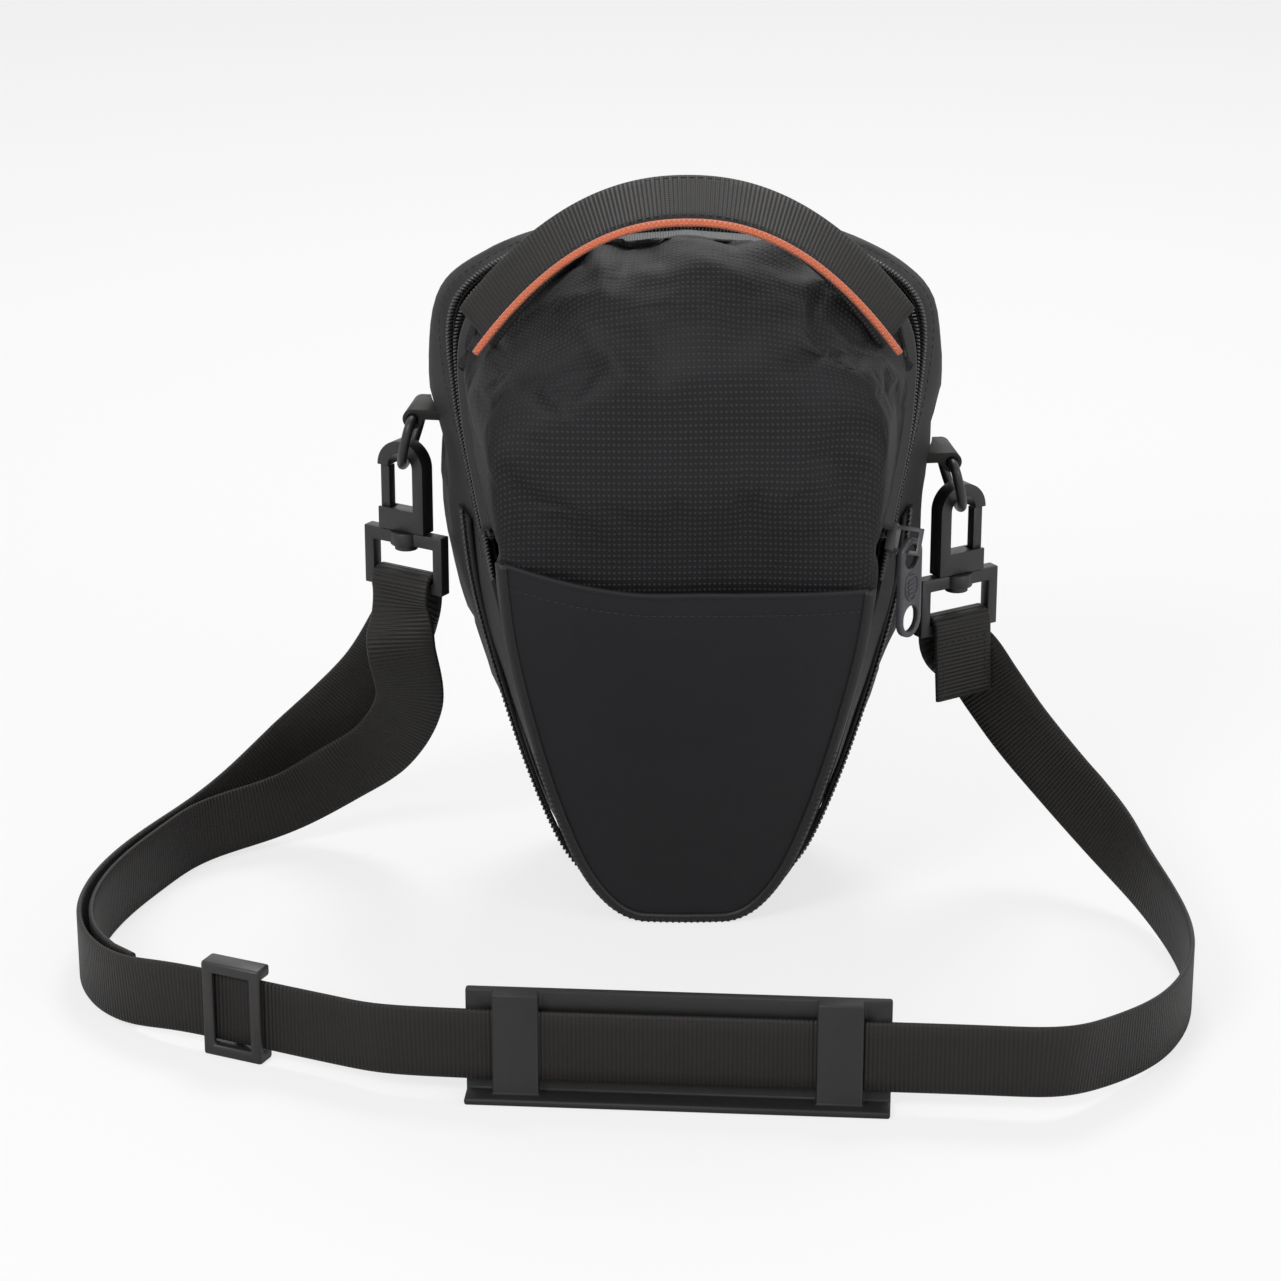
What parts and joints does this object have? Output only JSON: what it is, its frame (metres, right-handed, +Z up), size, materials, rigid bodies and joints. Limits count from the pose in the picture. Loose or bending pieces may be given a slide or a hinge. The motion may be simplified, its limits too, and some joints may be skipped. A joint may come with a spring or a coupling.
{
  "type": "camera bag",
  "caption": "Soft holster-shaped camera bag with a zipped lid flap, carrying handle, slip pocket and detachable shoulder strap with swivel hooks and a sliding pad.",
  "frame": {"origin": "middle of the flat base, on the surface that the bag stands on", "axes": "+Z up, -Y towards the front with the slip pocket, +X to the right as seen from the front"},
  "size_m": [0.386, 0.2531, 0.266],
  "materials": {
    "coated_nylon": "smooth coated fabric, matte",
    "dot_nylon": "dotted weave, matte",
    "plain_nylon": "plain weave, matte",
    "binding": "smooth tape, slight sheen",
    "zip_coil": "nylon coil on woven tape",
    "lining_cloth": "brushed lining",
    "stiff_board": "plain sheet",
    "webbing": "ribbed webbing, slight sheen",
    "orange_braid": "braided cord",
    "moulded_plastic": "moulded, satin",
    "painted_metal": "satin paint",
    "pad_rubber": "soft moulded rubber"
  },
  "bodies": {
    "bag": {"lower_front_wall": "dot_nylon", "zip_row_bag": "zip_coil", "zip_closed_ends": "zip_coil", "lining": "lining_cloth", "back_panel": "plain_nylon", "expansion_zip": "zip_coil", "front_gusset": "plain_nylon", "rear_gusset": "plain_nylon", "slip_pocket_panel": "coated_nylon", "front_binding": "binding", "base_board": "stiff_board", "base_cushion": "lining_cloth", "ring_tab_left": "webbing", "swivel_eye_left": "moulded_plastic", "ring_tab_right": "webbing", "swivel_eye_right": "moulded_plastic", "shoulder_strap": "webbing", "belt_loop": "webbing"},
    "flap": {"flap_panel": "dot_nylon", "flap_binding": "binding", "zip_row_flap": "zip_coil", "flap_lining": "lining_cloth", "handle_webbing": "webbing", "handle_cord": "orange_braid"},
    "ring_left": {"d_ring_left": "moulded_plastic"},
    "hook_left": {"hook_left": "moulded_plastic"},
    "gate_left": {"hook_gate_left": "moulded_plastic"},
    "ring_right": {"d_ring_right": "moulded_plastic"},
    "hook_right": {"hook_right": "moulded_plastic"},
    "gate_right": {"hook_gate_right": "moulded_plastic"},
    "slider": {"zip_slider": "painted_metal"},
    "puller": {"zip_puller": "painted_metal"},
    "tri_glide": {"tri_glide": "moulded_plastic"},
    "pad": {"shoulder_pad": "pad_rubber"}
  },
  "joints": [
    {"name": "flap_fold", "type": "hinge", "parent": "bag", "child": "flap", "pos_m": [0, -0.06, 0.16], "axis": [1, 0, 0], "range_deg": [0, 105]},
    {"name": "ring_swing_left", "type": "hinge", "parent": "bag", "child": "ring_left", "pos_m": [-0.0956, 0.02, 0.17491], "axis": [0.1392, 0.9903, 0], "range_deg": [-2, 2]},
    {"name": "hook_swivel_left", "type": "hinge", "parent": "bag", "child": "hook_left", "pos_m": [-0.10078, 0.02073, 0.12754], "axis": [0, 0, 1], "range_deg": [-5, 5]},
    {"name": "gate_press_left", "type": "hinge", "parent": "hook_left", "child": "gate_left", "pos_m": [-0.10718, 0.02473, 0.1361], "axis": [0.5299, 0.848, 0], "range_deg": [0, 14], "stiffness_Nm_per_rad": 0.02},
    {"name": "ring_swing_right", "type": "hinge", "parent": "bag", "child": "ring_right", "pos_m": [0.09365, 0.02, 0.15892], "axis": [-0.1392, 0.9903, 0], "range_deg": [-2, 2]},
    {"name": "hook_swivel_right", "type": "hinge", "parent": "bag", "child": "hook_right", "pos_m": [0.09883, 0.02073, 0.11155], "axis": [0, 0, 1], "range_deg": [-5, 5]},
    {"name": "gate_press_right", "type": "hinge", "parent": "hook_right", "child": "gate_right", "pos_m": [0.10523, 0.02473, 0.12011], "axis": [0.5299, -0.848, 0], "range_deg": [0, 14], "stiffness_Nm_per_rad": 0.02},
    {"name": "slider_run", "type": "slide", "parent": "bag", "child": "slider", "axis": [0.2242, 0.3995, 0.8889], "range_m": [0, 0.03]},
    {"name": "puller_lift", "type": "hinge", "parent": "slider", "child": "puller", "pos_m": [0.07696, -0.04303, 0.14719], "axis": [-0.6157, -0.788, 0], "range_deg": [0, 80]},
    {"name": "tri_glide_slide", "type": "slide", "parent": "bag", "child": "tri_glide", "axis": [0.9062, -0.4229, 0], "range_m": [0, 0.018]},
    {"name": "pad_slide", "type": "slide", "parent": "bag", "child": "pad", "axis": [0.9972, -0.0748, 0], "range_m": [-0.005, 0.04]}
  ]
}
